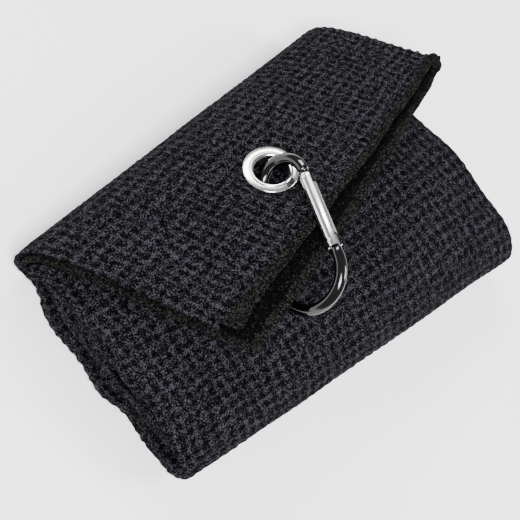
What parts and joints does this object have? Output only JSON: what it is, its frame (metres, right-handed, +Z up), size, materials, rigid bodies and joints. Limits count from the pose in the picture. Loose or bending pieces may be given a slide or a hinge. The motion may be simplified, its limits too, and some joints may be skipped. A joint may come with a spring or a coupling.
{
  "type": "golf towel",
  "caption": "Waffle-weave golf towel folded in three lengthwise and rolled flat, its grommet end laid over the top as a flap, with a snap hook through the eyelet.",
  "frame": {"origin": "under the middle of the whole part, on the surface it rests on", "axes": "+X along the roll towards its free right end, +Y towards the back fold, +Z up"},
  "size_m": [0.1438, 0.0956, 0.0518],
  "materials": {
    "cloth": "matt waffle-weave microfibre, charcoal",
    "edging": "overlocked thread, near black",
    "nickel": "polished nickel plate",
    "black_paint": "gloss black",
    "bright_steel": "polished",
    "spring_steel": "drawn wire"
  },
  "bodies": {
    "roll": {"towel_roll": "cloth"},
    "flap": {"flap_cloth": "cloth", "top_end_hem": "edging", "middle_end_hem": "edging", "bottom_end_hem": "edging", "side_hem": "edging", "eyelet_flange": "nickel", "eyelet_washer": "nickel"},
    "hook": {"hook_body": "black_paint"},
    "gate": {"gate_sleeve": "bright_steel", "gate_rivet": "bright_steel", "latch_pin": "bright_steel", "gate_spring": "spring_steel", "spring_plunger": "spring_steel"}
  },
  "joints": [
    {"name": "flap_lift", "type": "hinge", "parent": "roll", "child": "flap", "pos_m": [-0.06965, 0.0377, 0.00853], "axis": [-0.9966, -0.0809, -0.0171], "range_deg": [0, 75]},
    {"name": "hook_swivel", "type": "hinge", "parent": "flap", "child": "hook", "pos_m": [-0.00363, 0.01698, 0.03351], "axis": [-0.1106, 0.4086, 0.906], "range_deg": [-4, 9]},
    {"name": "gate_open", "type": "hinge", "parent": "hook", "child": "gate", "pos_m": [-0.00194, 0.00981, 0.04425], "axis": [0.7815, -0.4549, -0.427], "range_deg": [0, 6], "stiffness_Nm_per_rad": 0.06, "springref_deg": -28.65}
  ]
}
